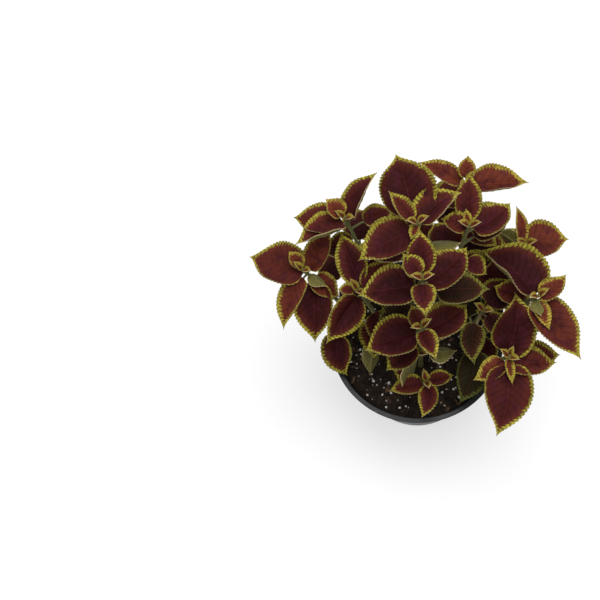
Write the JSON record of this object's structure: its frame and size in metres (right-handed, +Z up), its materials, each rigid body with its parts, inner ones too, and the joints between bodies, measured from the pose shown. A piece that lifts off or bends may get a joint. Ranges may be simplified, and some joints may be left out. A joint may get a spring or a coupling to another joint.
{
  "type": "potted coleus",
  "caption": "Coleus with toothed burgundy leaves edged in lime, growing as leafy stems in a round tapered nursery pot of potting mix.",
  "frame": {"origin": "centre of the pot's flat base, on the surface it stands on", "axes": "+Z up along the pot's axis; -Y is the front, the side nearest the viewer in the picture; +X is the viewer's right"},
  "size_m": [0.2968, 0.2419, 0.2939],
  "materials": {
    "black_plastic": "black moulded plastic with a slight satin sheen",
    "potting_mix": "dark crumbly mix of peat and fine bark with white perlite",
    "coleus_leaf": "velvety burgundy blades with lime toothed margins, olive green undersides and stems"
  },
  "bodies": {
    "root": {"pot": "black_plastic", "soil": "potting_mix", "leafy_stem_centre_back": "coleus_leaf", "leafy_stem_centre": "coleus_leaf", "leafy_stem_centre_front": "coleus_leaf", "leafy_stem_left_inner": "coleus_leaf", "leafy_stem_left_back": "coleus_leaf", "leafy_stem_left": "coleus_leaf", "leafy_stem_front": "coleus_leaf", "leafy_stem_right_inner": "coleus_leaf", "leafy_stem_right_front": "coleus_leaf", "leafy_stem_right": "coleus_leaf", "leafy_stem_right_back": "coleus_leaf", "leafy_stem_back_right": "coleus_leaf", "leafy_stem_back_inner": "coleus_leaf", "leafy_stem_front_left": "coleus_leaf", "leafy_stem_back": "coleus_leaf"}
  },
  "joints": []
}
